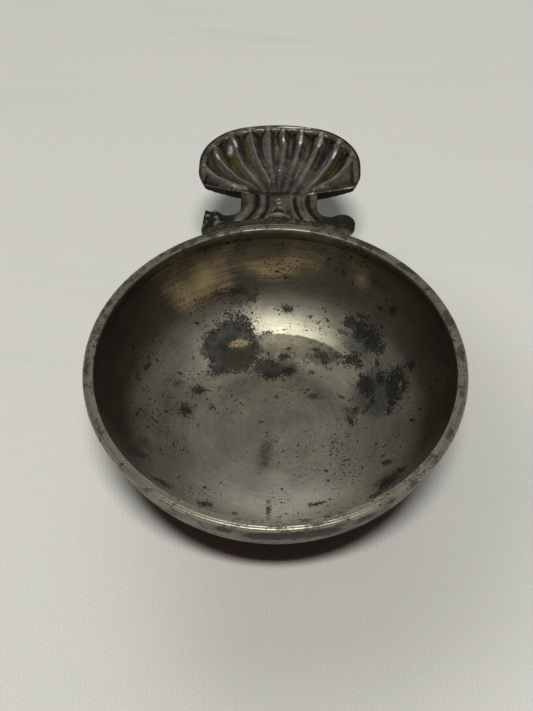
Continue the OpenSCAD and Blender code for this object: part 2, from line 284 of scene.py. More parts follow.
# dark marks of the outside seen from the front, and of the rim's top seen from above
outerMarks = [(1.0, 34.0, 11.0, 5.0, 0), (-14.0, 34.5, 4.0, 3.0, 0), (14.0, 33.0, 8.0, 4.0, 0),
              (27.0, 34.0, 4.0, 3.0, 0), (-32.0, 30.0, 5.0, 2.4, 10)]
rimMarks = [(13.0, -59.6, 3.4, 1.3, 10), (-16.0, -58.6, 2.2, 0.9, -12),
            (-47.0, 38.0, 3.0, 1.4, 40), (-37.0, 47.5, 3.4, 1.2, 35), (-60.6, -6.0, 1.2, 3.4, 0),
            (60.4, 4.0, 1.2, 3.6, 0), (57.5, 19.0, 1.5, 5.4, 18), (54.6, -26.5, 1.3, 3.6, -25),
            (45.0, 41.0, 6.2, 1.4, -42), (-57.0, 22.0, 1.3, 5.0, -20),
            (32.0, 52.0, 5.0, 1.3, -32), (-54.0, -28.0, 1.0, 2.0, 25),
            (59.4, -12.0, 1.0, 2.4, -10), (0.0, -60.8, 5.0, 0.7, 0), (-24.0, 56.0, 4.0, 1.2, 24)]


def arc(cx, cz, r, start, end, count):
    # points of an arc, angles in degrees from the outward direction
    turns = np.radians(np.linspace(start, end, count))
    return [(cx + r * math.cos(t), cz + r * math.sin(t)) for t in turns]


def line(a, b, count):
    # points of a straight line without its first one
    return [(a[0] + (b[0] - a[0]) * i / count, a[1] + (b[1] - a[1]) * i / count)
            for i in range(1, count + 1)]


def bowlSection():
    # half of the bowl cut through the middle: foot, outside, lip, rim, collar, inside, floor
    b, rows = bowl, bowl["rows"]
    height, base, soft, edge = b["height"], b["base"], b["footEdge"], b["edge"]
    footZ = b["curveZ"] - math.sqrt(b["outsideR"] ** 2 - (base - b["curveX"]) ** 2)
    low = math.degrees(math.asin((footZ - b["curveZ"]) / b["outsideR"]))
    section = [(0.0, 0.0)] + line((0, 0), (base - soft, 0), rows["foot"])
    section += [(base - 0.3 * soft, 0.25 * soft), (base, 0.9 * soft)]
    section += line((base, 0.9 * soft), (base, footZ - 0.1), 2)
    section += arc(b["curveX"], b["curveZ"], b["outsideR"], low + 0.3, -1.5, rows["outside"])
    across, down = b["underLip"]
    section += [(b["wall"], height - b["lip"] - down), (b["wall"] + across, height - b["lip"])]
    lipR = b["lip"] / 2
    section += arc(b["rim"] - lipR, height - lipR, lipR, -88, 78, rows["lip"])
    lineX = b["rim"] - b["lineIn"]
    section += arc(lineX, height - 0.01, b["line"] * 0.3, 0, -180, 5)
    section += line((lineX - b["line"] * 0.4, height), (b["collarR"] + edge, height), 5)
    section += arc(b["collarR"] + edge, height - edge, edge, 100, 180, rows["collar"])
    foot = height - b["collar"]
    start, *bend = [(b["collarR"] + x, foot + z) for x, z in b["collarFoot"]]
    section += line((b["collarR"], height - edge), start, rows["collar"]) + bend
    top = math.degrees(math.asin((foot - b["curveBelow"] - b["curveZ"]) / b["insideR"]))
    section += arc(b["curveX"], b["curveZ"], b["insideR"], top, -90, rows["inside"])
    section += line((b["curveX"], b["floor"]), (0, b["floor"]), rows["floor"])
    return section


def markBowl(body, places, r):
    # where the stains and marks are, for the material
    b, d = bowl, dullField
    for name, patches in (("stain", stains), ("cloud", clouds), ("brown", brownStains),
                          ("tan", tanMarks), ("gold", giltTarnishAndReflection)):
        addValues(body, name, patchDepth(places[:, :2], patches))
    fromCurve = np.hypot(np.maximum(r - b["curveX"], 0), places[:, 2] - b["curveZ"])
    onRim = places[:, 2] > b["height"] - b["rimDepth"]
    onWall = (fromCurve > b["outsideR"] - b["outsideSkin"]) & ~onRim & (places[:, 1] < 0)
    addValues(body, "outer", onWall * np.clip(patchDepth(places[:, ::2], outerMarks), 0, 1)
              + onRim * np.clip(patchDepth(places[:, :2], rimMarks), 0, 1))
    side = np.degrees(np.arctan2(places[:, 0], places[:, 1])) - d["turn"]
    field = step(r, *d["start"]) * step(r, *d["end"]) * step(np.abs(side), *d["sides"])
    addValues(body, "dull", field * (places[:, 2] < d["top"]))


def makeBowl():
    b = bowl
    section = [(x * mm, z * mm) for x, z in bowlSection()]
    clearSelection()
    bpy.ops.mesh.primitive_plane_add(size=0.001, location=(0, 0, 0))
    body = bpy.context.object
    body.name = "turnedBowl"
    editOn(body)
    bpy.ops.mesh.select_all(action="SELECT")
    bpy.ops.mesh.merge(type="CENTER")              # one point, the middle of the foot
    here = section[0]
    for there in section[1:]:                      # the half section, point by point
        bpy.ops.mesh.extrude_region_move(TRANSFORM_OT_translate={
            "value": (there[0] - here[0], 0, there[1] - here[1])})
        here = there
    bpy.ops.mesh.select_all(action="SELECT")
    bpy.ops.mesh.spin(steps=b["segments"], angle=math.tau, center=(0, 0, 0), axis=(0, 0, 1))
    bpy.ops.mesh.select_all(action="SELECT")
    bpy.ops.mesh.remove_doubles(threshold=1e-6)
    bpy.ops.mesh.normals_make_consistent(inside=False)
    editOff()
    places = readPoints(body) / mm
    turn = np.arctan2(places[:, 1], places[:, 0])
    r = np.hypot(places[:, 0], places[:, 1])
    high = places[:, 2] / b["height"]
    # not quite round, and the rim is worn a little lower in places
    pinch = b["outOfRound"] * uneven(turn, b["roundWaves"]) * step(high, b["roundFrom"], 1)
    places[:, :2] *= (1 - pinch / b["rim"])[:, None]
    places[:, 2] -= b["worn"] * uneven(turn, b["wornWaves"]) * step(high, b["wornFrom"], 1)
    writePoints(body, places * mm)
    markBowl(body, places, r)
    makeActive(body)
    bpy.ops.object.shade_smooth()
    return body


bowlBody = makeBowl()
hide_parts("bowl")
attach(bowlBody, "root")
print("bowl turned:", len(bowlBody.data.polygons), "faces")


# the handle in millimetres; near, aboveBack and deepest tell the CAD's top from its back
handle = {"grain": 0.34, "smooth": 1, "top": 41.8, "plate": 41.0, "edge": 2.8, "crown": 3.4,
          "reach": 115.9, "hinge": 76.3, "halfWidth": 30.7, "shoulderR": 21.6,
          "crownR": 58.6, "wingR": 92.0, "tipHalf": 30.4, "tipCut": 0.8,
          "tip": ((0.0, 2.6), (0.3, 1.2), (1.6, 0.1)), "tipEnd": 2.4,
          "near": 0.02, "aboveBack": 0.15, "deepest": 2.2}
# the shell's relief; heights and widths in millimetres, what grows does so from the hinge
# (0) to the crown (1), and fan is how much more a step sideways counts in that
shell = {"border": 2.4, "borderLow": 0.3, "borderMeets": 0.6, "borderSlope": (-0.1, 0.75),
         "rounding": (0.75, 1.1), "roundShape": 1.5, "highest": 0.02,
         "dish": 0.6, "dishFromRim": (1.5, 9.0), "dishFromWing": (0.5, 6.0),
         "fan": 1.15, "flute": (0.45, 2.2), "fluteGrows": (0.15, 0.85), "fluteMost": 0.62,
         "fluteShape": 0.8, "crest": 0.4, "crestLift": 0.1, "wander": 0.55,
         "wanderNoise": (0.3, 5.0), "ribEnds": (0.06, 0.94), "knob": 0.3, "knobR": 0.85,
         "knobOut": 0.12,
         "waist": 0.12, "waistHalf": (11.0, 15.0), "waistLong": (0.2, 3.2)}
# the neck's relief, the ramp between it and the shell, and the broken stub; a noise has
# its scale, its seed and its height
neck = {"low": -0.18, "ring": (-0.1, 73.1), "ringR": 1.0, "ringWidth": 0.42, "ringRise": 0.7,
        "eyeWidth": 0.5, "eyeDrop": 0.3, "hollow": (0.5, 64.3), "hollowSize": (2.6, 0.8),
        "hollowDrop": 0.7, "lobe": (23.2, 62.4), "lobeR": (0.5, 4.6), "lobeRise": 0.35,
        "lobesHalf": (13.5, 17.0), "rampHalf": 14.0, "rampLong": 1.3, "ramp": 0.9,
        "rampSide": 1.5, "rampFrom": (39.8, 40.5),
        "stub": (-24.2, 62.0), "stubSize": (4.6, 5.4), "stubReach": 1.15, "stubFrom": 37.0,
        "stubLumps": (0.42, 3.0, 1.1), "stubGaps": (0.3, 11.0, 2.2), "stubRange": (-2.4, 0.3),
        "skin": ((0.45, 7.0, 0.07), (1.3, 21.0, 0.05)), "skinWorn": 0.06}
# the z of a face's normal from where an effect starts to where it is full: for the relief on top,
# the painted shade on upright faces, and the skin on flat ones
facingUp, facingAside, facingFlat = (0.2, 0.75), (0.6, 0.2), (0.2, 0.8)
# how dark each form is, from 0 for clean to 1: partly real dirt, partly painted shade; the knob
# and wing entries lighten, as painted highlights
dirtAndPaintedLight = {"shell": 0.45, "flute": 0.66, "ridge": 0.3, "waistContrast": 0.4, "waist": 0.2,
        "ridgeShadow": 0.5, "ridgeShadowAt": (1.05, 0.1), "ridgeShadowWidth": 0.45, "rib": 0.55, "wall": 0.9,
        "waistFade": (0.25, 0.85), "waistReach": (0.5, 0.1), "ridgeShadowGrows": (0.3, 0.65),
        "borderShadeWidth": (0.9, 2.2), "borderShadeNear": 0.7, "edgeWidth": (0.4, 1.6), "wingHighlightWidth": 0.4,
        "wingHighlightFrom": (9, 13),
        "knob": 1.2, "edge": 0.3, "wing": 0.8, "neck": 0.62, "lobes": 0.25, "relief": 0.55,
        "band": 0.6, "groove": 0.95, "ring": 0.9, "neckHollow": 0.4, "upright": 0.45,
        "stub": 0.45, "stubLumps": 1.2}

# crests of the shell's ridges, from the border down to the waist
ridges = [[(-28.3, 90.5), (-25.5, 87.0), (-20.5, 83.6), (-15.0, 81.0), (-12.5, 80.0)],
          [(-25.2, 101.6), (-23.9, 97.5), (-21.2, 92.5), (-17.0, 87.0), (-12.0, 82.3),
           (-8.6, 79.6)],
          [(-19.2, 109.3), (-18.0, 105.5), (-16.8, 100.5), (-14.6, 94.0), (-11.4, 87.6),
           (-8.2, 82.4), (-5.4, 78.0)],
          [(-12.0, 112.6), (-11.2, 107.0), (-9.4, 99.0), (-7.2, 92.0), (-5.2, 86.5),
           (-3.6, 81.5), (-2.8, 77.8)],
          [(-4.9, 113.7), (-4.6, 108.0), (-4.1, 100.0), (-3.4, 92.0), (-2.6, 85.0), (-1.8, 78.2)],
          [(1.1, 113.7), (1.0, 109.0), (1.7, 104.0), (1.5, 100.0), (0.7, 93.0), (0.1, 86.0),
           (-0.2, 78.2)],
          [(8.3, 113.2), (8.0, 108.0), (7.2, 102.0), (6.1, 96.0), (4.7, 90.0), (3.4, 85.0),
           (1.7, 78.2)],
          [(16.0, 110.7), (15.0, 105.5), (13.1, 98.5), (11.0, 92.0), (8.7, 86.0), (6.6, 81.0),
           (4.6, 77.2)],
          [(22.9, 106.2), (21.6, 101.0), (19.3, 95.0), (16.5, 89.3), (13.2, 83.6),
           (10.2, 79.0), (8.6, 77.2)],
          [(27.3, 98.0), (25.4, 92.6), (21.6, 87.2), (17.0, 83.0), (13.0, 80.2)]]
# small ribs inside the flutes, with their height and half width
ribs = [([(4.3, 110.5), (4.3, 105.0), (3.7, 99.0)], 0.55, 0.5),
        ([(-7.1, 109.5), (-6.7, 104.0), (-5.8, 97.5)], 0.5, 0.45),
        ([(-1.9, 110.0), (-1.2, 103.5), (-0.9, 98.0)], 0.45, 0.6),
        ([(11.6, 110.4), (10.9, 105.0), (9.4, 97.5)], 0.4, 0.6),
        ([(-14.2, 108.8), (-13.2, 103.0), (-11.6, 97.0)], 0.4, 0.5),
        ([(8.9, 96.5), (7.2, 90.0), (5.6, 85.0)], 0.3, 0.45),
        ([(-6.4, 92.0), (-4.4, 86.0), (-3.4, 82.0)], 0.25, 0.4),
        ([(19.3, 103.5), (16.8, 96.0), (13.6, 89.0)], 0.3, 0.5)]
# curved bands of the neck, with their height and half width; grooves have a height below 0
bands = [([(-6.0, 76.4), (-5.9, 72.5), (-6.4, 68.6), (-7.8, 65.0), (-9.6, 62.0)], 0.5, 1.0),
         ([(-10.8, 75.6), (-10.6, 72.0), (-11.2, 69.0), (-12.8, 65.8), (-14.8, 63.2)], 0.5, 1.4),
         ([(4.6, 76.4), (4.4, 72.6), (5.0, 68.6), (6.5, 64.8), (8.6, 61.6)], 0.6, 0.65),
         ([(7.5, 75.0), (7.3, 71.8), (8.1, 68.0), (9.7, 64.5), (11.6, 61.8)], 0.35, 0.8),
         ([(9.4, 76.6), (9.0, 73.0), (9.5, 69.4), (11.0, 65.6), (13.4, 62.0)], 0.6, 0.7),
         ([(-8.0, 76.6), (-7.9, 72.5), (-8.6, 68.8), (-10.4, 65.4), (-12.6, 62.6)], -0.6, 0.5),
         ([(-4.2, 76.4), (-4.0, 72.5), (-4.4, 69.0), (-5.8, 65.4), (-7.4, 62.8)], -0.45, 0.45),
         ([(6.0, 75.5), (5.8, 72.0), (6.6, 68.0), (8.2, 64.4), (10.1, 61.8)], -0.4, 0.45),
         ([(10.8, 75.6), (10.5, 72.6), (11.2, 69.0), (12.9, 65.6), (15.0, 62.8)], -0.5, 0.7),
         ([(-4.8, 63.6), (-3.4, 65.6), (-0.4, 66.6), (2.6, 65.7), (4.6, 63.4)], 0.65, 0.6),
         ([(-2.2, 68.3), (-1.4, 69.6), (0.0, 70.0), (1.4, 69.5), (2.2, 68.2)], 0.6, 0.5),
         ([(-1.2, 68.2), (0.0, 68.6), (1.2, 68.2)], -0.4, 0.45),
         ([(-2.4, 62.4), (0.0, 62.7), (2.8, 62.1)], 0.3, 0.35)]
# worn and coloured marks of the shell, like those of the bowl, and glint marks that are painted
# highlights
oliveMarks = [(-17.0, 94.5, 1.7, 8.0, 18), (-12.2, 101.0, 1.2, 5.5, 12),
              (-0.8, 100.0, 1.0, 4.0, 0), (20.4, 91.0, 0.9, 6.0, -24)]
paintedGlintMarks = [(15.6, 106.6, 0.9, 4.2, -14), (8.1, 108.0, 0.8, 4.8, -6),
              (-19.4, 101.8, 1.4, 3.8, 12), (-17.6, 105.2, 0.8, 3.2, 20),
              (22.8, 106.0, 1.0, 1.0, 0), (-4.9, 113.4, 0.9, 1.0, 0), (1.1, 113.2, 0.9, 1.3, 0),
              (8.4, 112.8, 1.1, 1.2, 0), (16.0, 110.4, 1.2, 1.3, 0), (-12.0, 112.4, 0.8, 1.2, 0),
              (0.0, 90.0, 0.6, 0.6, 0), (5.0, 114.6, 8.0, 0.8, 0), (1.2, 108.0, 0.6, 3.2, 0),
              (21.0, 99.5, 0.7, 3.4, -20), (-24.0, 97.0, 0.7, 2.6, 22)]
rustMarks = [(-25.4, 96.2, 1.2, 3.0, 20), (18.0, 104.5, 0.9, 0.9, 0), (22.2, 96.0, 1.1, 4.0, -22),
             (11.2, 108.0, 1.3, 2.4, 0)]


def smoothLine(points, count=40):
    # a smooth curve through these points
    p = np.array([points[0]] + list(points) + [points[-1]], float)
    out = []
    for i in range(1, len(p) - 2):
        for t in np.linspace(0, 1, max(3, count // (len(p) - 3)), endpoint=False):
            a, b, c, d = p[i - 1], p[i], p[i + 1], p[i + 2]
            out.append(0.5 * (2 * b + (c - a) * t + (2 * a - 5 * b + 4 * c - d) * t ** 2
                              + (3 * b - 3 * c + d - a) * t ** 3))
    out.append(p[-1])
    return np.array(out)


def distanceTo(curve, xy):
    # distance of each point from the curve, and how far along the curve that is
    best = np.full(len(xy), 1e9)
    along = np.zeros(len(xy))
    for i in range(len(curve) - 1):
        a, run = curve[i], curve[i + 1] - curve[i]
        t = np.clip(((xy - a) @ run) / max(run @ run, 1e-12), 0, 1)
        d = np.hypot(*(xy - a - t[:, None] * run).T)
        nearer = d < best
        best[nearer] = d[nearer]
        along[nearer] = (i + t[nearer]) / (len(curve) - 1)
    return best, along


def shellOutline():
    # the shell's edge seen from above: crown, shoulder, side and wing edge, right and left
    h = handle
    crownY = h["reach"] - h["crownR"]
    shoulderX = h["halfWidth"] - h["shoulderR"]
    shoulderY = crownY + math.sqrt((h["crownR"] - h["shoulderR"]) ** 2 - shoulderX ** 2)
    touch = math.degrees(math.atan2(shoulderY - crownY, shoulderX))

    def wingEdge(x):
        return h["hinge"] + h["wingR"] - math.sqrt(h["wingR"] ** 2 - x * x)

    tipY = wingEdge(h["tipHalf"] - h["tipCut"])
    half = arc(0, crownY, h["crownR"], 90, touch, 14)
    half += arc(shoulderX, shoulderY, h["shoulderR"], touch, -2, 24)
    half += [(h["tipHalf"] - x, tipY + y) for x, y in h["tip"]]
    half += [(x, wingEdge(x)) for x in np.linspace(h["tipHalf"] - h["tipEnd"], 0, 16)]
    half = np.array(half)
    return half, half[::-1] * (-1, 1)


def wingDistance(xy):
    # how far each point is from the shell's wing edge; below 0 on the shell's side
    h = handle
    return np.hypot(xy[:, 0], xy[:, 1] - h["hinge"] - h["wingR"]) - h["wingR"]


def coarse(places, scale, seed):
    # smooth noise from -1 to 1 at points in millimetres
    return np.array([noise.noise(Vector((x * scale + seed, y * scale, z * scale)))
                     for x, y, z in places])


def shellDepth(xy):
    # how far the shell's top lies below its highest plane, and how dark it is with dirt and
    # painted light
    h, s, d = handle, shell, dirtAndPaintedLight
    right, left = shellOutline()
    rim = np.minimum(distanceTo(right, xy)[0], distanceTo(left, xy)[0])
    wing = np.abs(wingDistance(xy))
    aside = np.abs(xy[:, 0])
    # distance from the nearest crest and the next one, a little uneven as by hand
    found = np.array([distanceTo(smoothLine(r), xy)[0] for r in ridges] + [wing + s["crest"]])
    wander = coarse(np.c_[xy, np.zeros(len(xy))], *s["wanderNoise"])
    order = np.sort(np.maximum(found + s["wander"] * wander, 0), axis=0)
    near, far = np.maximum(order[0] - s["crest"], 0), order[1]
    across = near / (near + far + 1e-6)
    out = np.hypot(xy[:, 0] * s["fan"], xy[:, 1] - h["hinge"]) / (h["reach"] - h["hinge"])
    shallow, deepest = s["flute"]
    deep = shallow + (deepest - shallow) * step(out, *s["fluteGrows"])
    deep = np.minimum(deep, s["fluteMost"] * (near + far))
    flute = deep * (0.5 - 0.5 * np.cos(2 * np.pi * np.clip(across, 0, 0.5))) ** s["fluteShape"]
    dish = s["dish"] * step(rim, *s["dishFromRim"]) * step(wing, *s["dishFromWing"])
    top = rim - np.where(wing < rim + s["borderMeets"], s["borderLow"] - s["border"], 0)
    slopeStart, slopeEnd = s["borderSlope"]
    inside = step(top, s["border"] + slopeStart, s["border"] + slopeEnd)
    depth = s["knob"] + inside * (flute + dish - s["crestLift"])
    # the ridges are worn flat near the waist
    contrast = d["waistContrast"] + (1 - d["waistContrast"]) * step(out, *d["waistFade"])
    hollow = d["shell"] + inside * (flute / (deep + 0.05) * d["flute"] - d["ridge"]) * contrast
    hollow += d["waist"] * inside * step(out, *d["waistReach"])
    for r in ridges[1:-1]:                          # painted shadow along each ridge's right side
        ridgeShadow = distanceTo(smoothLine(r) + d["ridgeShadowAt"], xy)[0]
        grows = step(out, *d["ridgeShadowGrows"])
        hollow += d["ridgeShadow"] * inside * bell(ridgeShadow, d["ridgeShadowWidth"]) * grows
    for points, height, width in ribs:
        away, along = distanceTo(smoothLine(points, 20), xy)
        rib = inside * bell(away, width) * np.sin(np.pi * np.clip(along, *s["ribEnds"])) ** 0.5
        depth -= height * rib
        hollow -= d["rib"] * rib
    # painted shade on the wall inside the border, and painted highlights on the ridges' bright
    # ends
    wall = inside * (1 - step(top - s["border"], *d["borderShadeWidth"]))
    hollow = np.maximum(hollow, d["wall"] * wall * step(near, 0, d["borderShadeNear"]))
    for r in ridges:
        end = np.array(r[0]) + (np.array(r[0]) - np.array(r[1])) * s["knobOut"]
        knob = bell(np.hypot(*(xy - end).T), s["knobR"])
        depth -= s["knob"] * knob
        hollow -= d["knob"] * knob
    # the border's outer edge is rounded, and at the waist the shell runs down to the neck
    rounded, roundWidth = s["rounding"]
    depth += rounded * (1 - step(rim, 0.0, roundWidth)) ** s["roundShape"]
    hollow += d["edge"] * (1 - step(rim, *d["edgeWidth"]))
    # painted highlight: a bright line along the wing's edge
    paintedWingHighlight = bell(wing - d["wingHighlightWidth"], d["wingHighlightWidth"]) * step(aside, *d["wingHighlightFrom"])
    hollow -= d["wing"] * paintedWingHighlight
    depth += s["waist"] * (1 - step(aside, *s["waistHalf"])) * (1 - step(wing, *s["waistLong"]))
    return np.maximum(depth, s["highest"]), np.clip(hollow, 0, 1)


def neckHeight(xy):
    # height of the neck's relief above its plate, and how dirty it is
    n, d = neck, dirtAndPaintedLight
    height = np.full(len(xy), n["low"])
    crest = np.zeros(len(xy))
    for points, rise, width in bands:
        band = bell(distanceTo(smoothLine(points, 24), xy)[0], width)
        height += rise * band
        crest += (d["band"] if rise > 0 else -d["groove"]) * band
    ring = np.hypot(*(xy - n["ring"]).T)
    crest += d["ring"] * bell(ring - n["ringR"] + 0.05, n["ringWidth"])
    height += n["ringRise"] * bell(ring - n["ringR"], n["ringWidth"])
    height -= n["eyeDrop"] * bell(ring, n["eyeWidth"])
    hollow = bell(np.hypot(*((xy - n["hollow"]) / n["hollowSize"]).T), 1)
    height -= n["hollowDrop"] * hollow
    lobe = np.hypot(*(xy - n["lobe"]).T)
    height += n["lobeRise"] * (1 - step(lobe, *n["lobeR"]))
    lobes = step(np.abs(xy[:, 0]), *n["lobesHalf"])
    dirty = d["neck"] + d["lobes"] * lobes - d["relief"] * crest + d["neckHollow"] * hollow
    return height, np.clip(dirty, 0, 1)


def makeBlank():
    # the CAD handle with flutes and bands levelled, made of small even faces
    h = handle
    clearSelection()
    casting = bpy.data.objects.new("shellHandle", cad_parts["handle"].data.copy())
    bpy.context.scene.collection.objects.link(casting)
    casting.data.materials.clear()
    editOn(casting)
    bpy.ops.mesh.select_all(action="SELECT")
    bpy.ops.mesh.remove_doubles(threshold=2e-6)
    editOff()
    places = readPoints(casting) / mm
    # the back is part of a large ball
    backR = (h["halfWidth"] ** 2 + h["crown"] ** 2) / (2 * h["crown"])
    midY = (h["hinge"] + h["reach"]) / 2
    fromMid = places[:, 0] ** 2 + (places[:, 1] - midY) ** 2
    back = h["top"] - h["edge"] - h["crown"] + backR - np.sqrt(np.maximum(backR ** 2 - fromMid, 0))
    onShell = (places[:, 1] > h["hinge"] - h["near"]) & (wingDistance(places) < h["near"])
    onShell &= places[:, 2] > np.maximum(back + h["aboveBack"], h["plate"] - h["deepest"])
    places[onShell, 2] = h["top"]
    places[~onShell & (places[:, 2] > h["plate"] + h["near"] / 4), 2] = h["plate"]
    writePoints(casting, places * mm)
    applyModifier(casting, "REMESH", mode="VOXEL", voxel_size=h["grain"] * mm, adaptivity=0.0)
    applyModifier(casting, "SMOOTH", factor=0.5, iterations=h["smooth"])
    return casting


def makeHandle():
    h, n, d = handle, neck, dirtAndPaintedLight
    casting = makeBlank()
    places = readPoints(casting) / mm
    facing = readPoints(casting, "normal")[:, 2]
    up = step(facing, *facingUp)
    xy = places[:, :2]
    wing = wingDistance(xy)
    aside = np.abs(xy[:, 0])
    # the relief, worked into the top
    move = np.zeros(len(places))
    hollow = np.full(len(places), 0.5)
    onShell = (wing < -0.1) & (places[:, 2] > h["top"] - 1.2) & (xy[:, 1] > h["hinge"] - 1)
    depth, hollow[onShell] = shellDepth(xy[onShell])
    move[onShell] = (h["top"] - depth) - places[onShell, 2]
    onNeck = ~onShell & (places[:, 2] > h["plate"] - 0.6) & (wing > -0.5)
    move[onNeck], hollow[onNeck] = neckHeight(xy[onNeck])
    places[:, 2] += move * up
    # the waist: a smooth ramp from the shell down to the neck
    rampLow, rampHigh = n["rampFrom"]
    waist = (np.abs(wing) < n["rampLong"]) & (aside < n["rampHalf"]) & (places[:, 2] > rampLow)
    shellZ = h["top"] - shellDepth(xy[waist])[0]
    neckZ = h["plate"] + neckHeight(xy[waist])[0]
    ramp = neckZ + (shellZ - neckZ) * step(wing[waist], n["ramp"], -n["ramp"])
    share = step(aside[waist], n["rampHalf"], n["rampHalf"] - n["rampSide"])
    share *= step(places[waist, 2], rampLow, rampHigh)
    places[waist, 2] += (ramp - places[waist, 2]) * share
    # painted shade: faces that stand upright are darker
    upright = step(np.abs(facing), *facingAside) * ~(waist & (aside < n["rampHalf"] - 1))
    hollow = np.clip(hollow + d["upright"] * upright, 0, 1)
    # the broken scroll: lumps with gaps between them
    stub = np.hypot(*((xy - n["stub"]) / n["stubSize"]).T)
    near = (stub < n["stubReach"]) & (places[:, 2] > n["stubFrom"])
    (lumpScale, lumpSeed, high), (gapScale, gapSeed, deep) = n["stubLumps"], n["stubGaps"]
    lumps = coarse(places[near], lumpScale, lumpSeed) * high
    lumps -= np.abs(coarse(places[near], gapScale, gapSeed)) * deep
    fade = step(n["stubReach"] - stub[near], 0, 0.5) * up[near]
    places[near, 2] += np.clip(lumps, *n["stubRange"]) * fade
    hollow[near] = np.clip(d["stub"] - lumps * d["stubLumps"], 0, 1)
    # cast skin: slight unevenness everywhere
    skin = sum(coarse(places, scale, seed) * high for scale, seed, high in n["skin"])
    skin = (skin - n["skinWorn"]) * step(np.abs(facing), *facingFlat)
    places[:, 2] += skin * np.sign(facing)
    places[:, 2] = np.minimum(places[:, 2], h["top"] - 0.01)
    writePoints(casting, places * mm)
    # hollow: how dark with dirt and painted shade, lighter where painted highlights are
    addValues(casting, "hollow", hollow)
    for name, patches in (("olive", oliveMarks), ("rust", rustMarks), ("paintedGlint", paintedGlintMarks)):
        addValues(casting, name, patchDepth(xy, patches))
    makeActive(casting)
    bpy.ops.object.shade_smooth()
    return casting


handleBody = makeHandle()
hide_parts("handle")
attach(handleBody, "root")
print("handle cast:", len(handleBody.data.polygons), "faces")


# colours of the turned bowl; front is a painted reflection and wall a painted shade, and gold is
# partly tarnish, partly a painted warm reflection
pewter = {"floor": (0.255, 0.247, 0.205), "wall": (0.088, 0.079, 0.060),
          "front": (0.52, 0.51, 0.445), "gold": (0.46, 0.35, 0.20),
          "stain": (0.010, 0.010, 0.010), "brown": (0.026, 0.022, 0.013),
          "tan": (0.24, 0.195, 0.115), "cloud": (0.066, 0.066, 0.060),
          "dull": (0.068, 0.061, 0.046), "flux": (0.045, 0.043, 0.034),
          "rim": (0.285, 0.27, 0.22), "rimBack": (0.21, 0.204, 0.158),
          "outside": (0.2, 0.183, 0.146), "roughness": 0.47, "stainRoughness": 0.62}
# how much of the metal each finish covers
cover = {"gold": 0.85, "dull": 0.9, "cloud": 0.72, "stain": 0.9, "brown": 0.9, "tan": 0.85,
         "marks": 0.8, "flux": 0.8, "rimMottle": 0.3, "blotch": 0.85, "paintedGlint": 0.85,
         "olive": 0.8, "rust": 0.6, "pit": 0.8}
# where the finishes start and end in the bowl, in metres
zones = {"rimZ": (0.0386, 0.0391), "rimR": (0.0588, 0.0591), "shadedWallZ": (0.009, 0.019),
         "shadedWallY": (-0.050, -0.022), "paintedReflectionY": (-0.012, -0.040), "paintedReflectionX": (0.034, 0.012),
         "rimBackY": (-0.02, 0.066), "patchyX": (0.036, 0.016), "crowdR": (0.012, 0.04),
         "fluxY": (0.049, 0.056), "fluxR": (0.0606, 0.0609)}
# noises: scale, detail and roughness; turned ones: waves around, scale across, detail, roughness
grains = {"mottle": (85, 4, 0.55), "grain": (520, 4, 0.7), "speck": (1700, 3, 0.65),
          "patchy": (260, 4, 0.65), "crowd": (60, 3, 0.6), "blotch": (150, 3, 0.6),
          "fine": (2.6, 2600, 2, 0.65), "finer": (6.0, 7000, 2, 0.7),
          "broad": (0.5, 420, 2, 0.5), "smear": (26, 420, 4, 0.7),
          "castMottle": (210, 4, 0.65), "castGrain": (900, 4, 0.7), "castDirt": (75, 3, 0.55),
          "solder": (600, 4, 0.7)}


def specks(p, place, scale, crowd, least):
    # small ragged pits, more of them where crowd is high
    return (p.noise(place, scale, 2, 0.5) + crowd * 0.10).between(least, least + 0.03)


